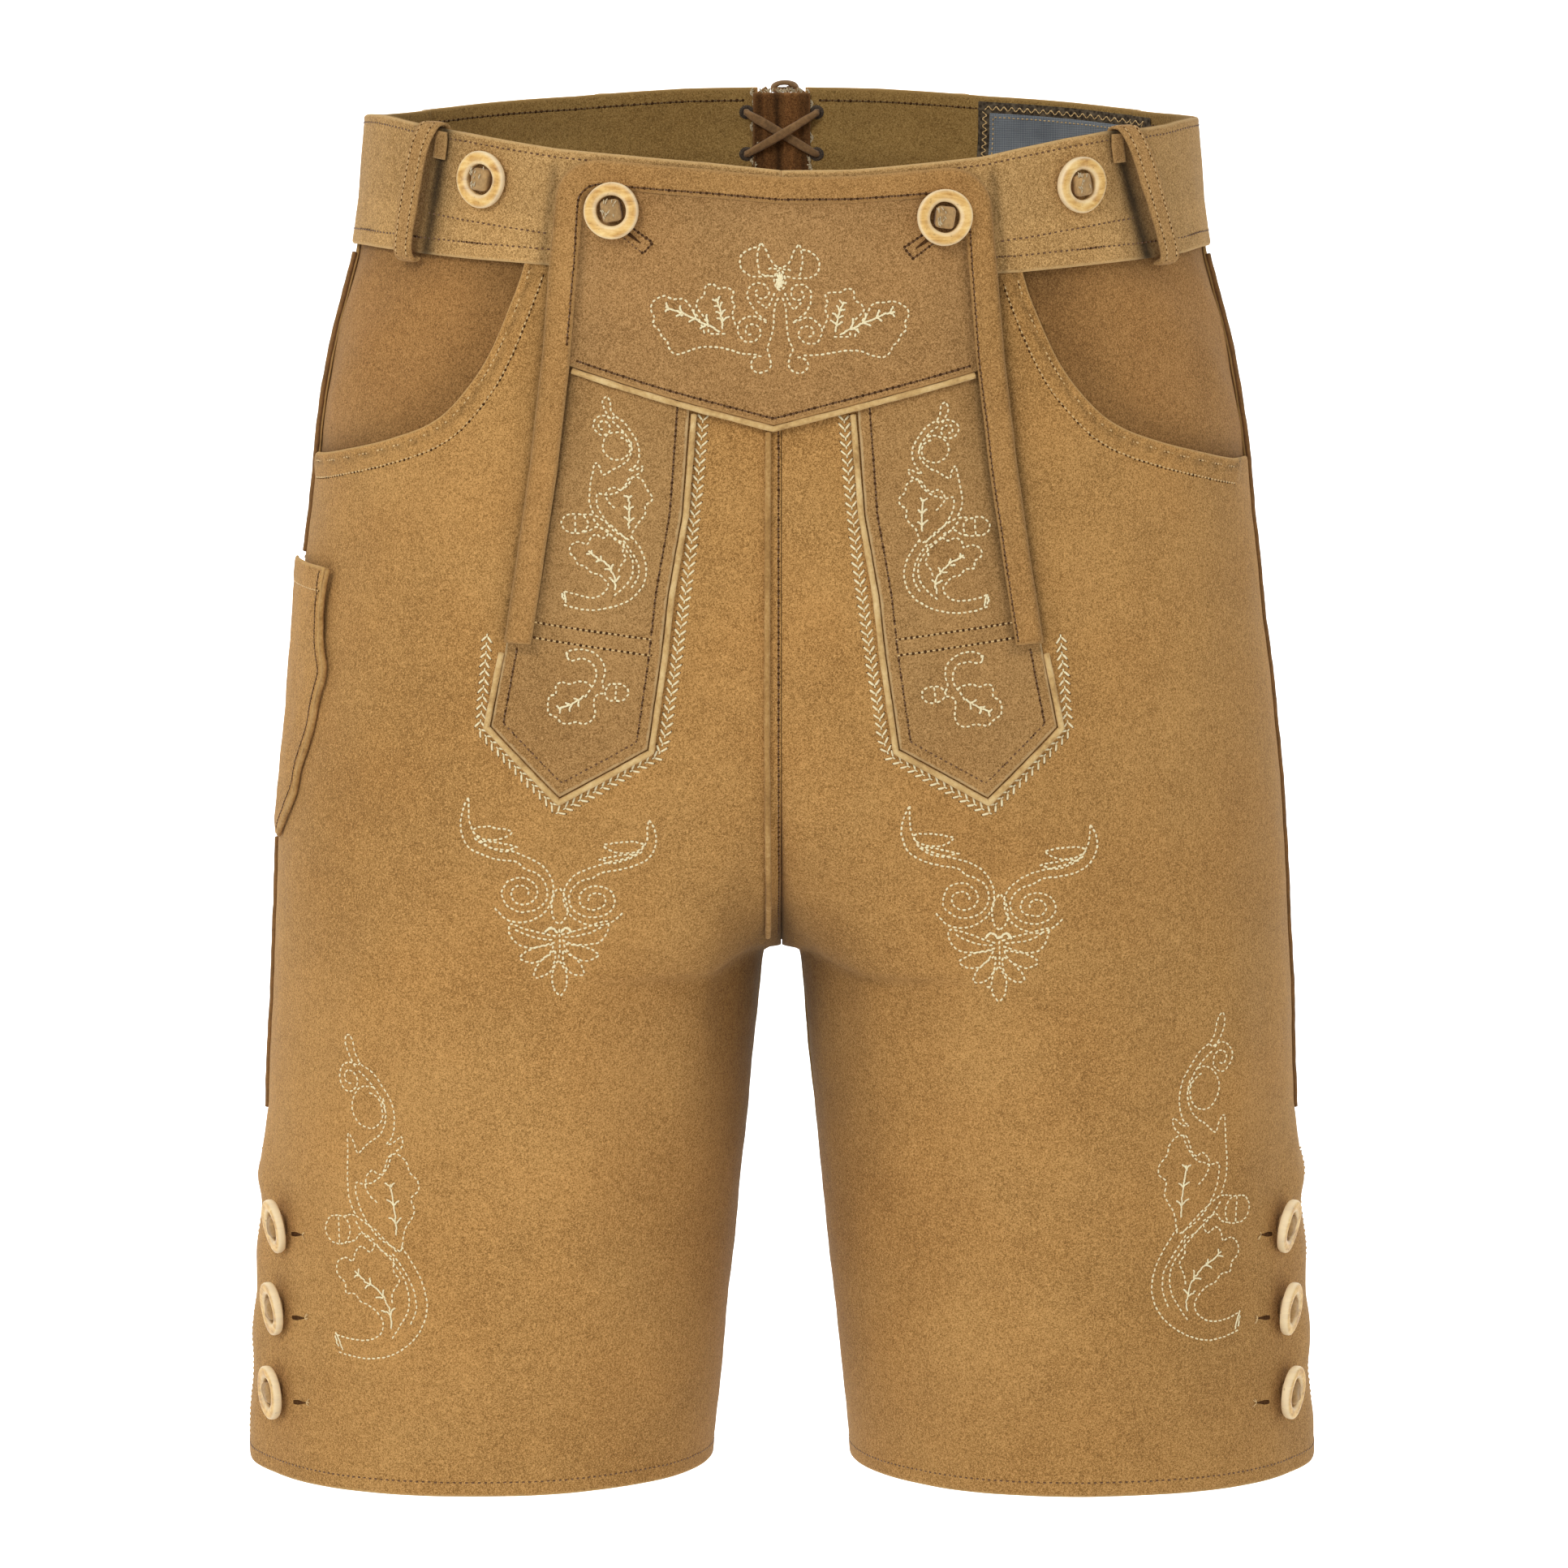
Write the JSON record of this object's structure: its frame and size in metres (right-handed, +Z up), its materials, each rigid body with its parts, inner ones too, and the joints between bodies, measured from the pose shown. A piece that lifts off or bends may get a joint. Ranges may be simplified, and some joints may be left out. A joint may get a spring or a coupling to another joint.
{
  "type": "lederhosen",
  "caption": "Knee-length suede shorts, worn and hollow: waistband, buttoned front flap, appliqued strips, hip pockets, knife pocket, laced back, belt loops, buttoned leg vents.",
  "frame": {"origin": "middle of the wearer's waist, level with the middle of the waistband", "axes": "+Z up along the body, +X to the wearer's left, front towards -Y"},
  "size_m": [0.4326, 0.2531, 0.556],
  "materials": {
    "gusset_leather": "smooth leather, satin",
    "label_cloth": "woven cloth, bare",
    "label_mesh": "open woven mesh",
    "lining_leather": "smooth leather, satin",
    "piping": "smooth leather piping",
    "suede": "napped suede, matt",
    "suede_dark": "napped suede, matt, a shade darker",
    "thong": "folded leather thong",
    "wood": "pale horn-like wood, satin"
  },
  "bodies": {
    "root": {"back_gusset": "gusset_leather", "back_left": "suede", "back_right": "suede", "belt_loop_back_left": "suede", "belt_loop_back_right": "suede", "belt_loop_front_left": "suede", "belt_loop_front_right": "suede", "brace_button_left": "wood", "brace_button_left_thong": "thong", "brace_button_right": "wood", "brace_button_right_thong": "thong", "centre_welt": "piping", "flap_binding": "suede", "flap_button_left": "wood", "flap_button_left_thong": "thong", "flap_button_right": "wood", "flap_button_right_thong": "thong", "flap_strip_left": "suede_dark", "flap_strip_right": "suede_dark", "flap_yoke": "suede_dark", "front_left": "suede", "front_right": "suede", "knife_pocket": "suede", "knife_pocket_welt": "piping", "label": "label_cloth", "label_backing": "label_mesh", "lace": "thong", "lace_knot": "thong", "leg_button_1_left": "wood", "leg_button_1_left_thong": "thong", "leg_button_1_right": "wood", "leg_button_1_right_thong": "thong", "leg_button_2_left": "wood", "leg_button_2_left_thong": "thong", "leg_button_2_right": "wood", "leg_button_2_right_thong": "thong", "leg_button_3_left": "wood", "leg_button_3_left_thong": "thong", "leg_button_3_right": "wood", "leg_button_3_right_thong": "thong", "pocket_backing_left": "suede", "pocket_backing_right": "suede", "side_welt_left": "suede_dark", "side_welt_right_lower": "suede_dark", "side_welt_right_upper": "suede_dark", "strip_welt_left": "piping", "strip_welt_right": "piping", "vent_underlap_left": "suede", "vent_underlap_right": "suede", "waistband_facing_left": "lining_leather", "waistband_facing_right": "lining_leather", "waistband_left": "suede", "waistband_right": "suede", "yoke_welt": "piping"}
  },
  "joints": []
}
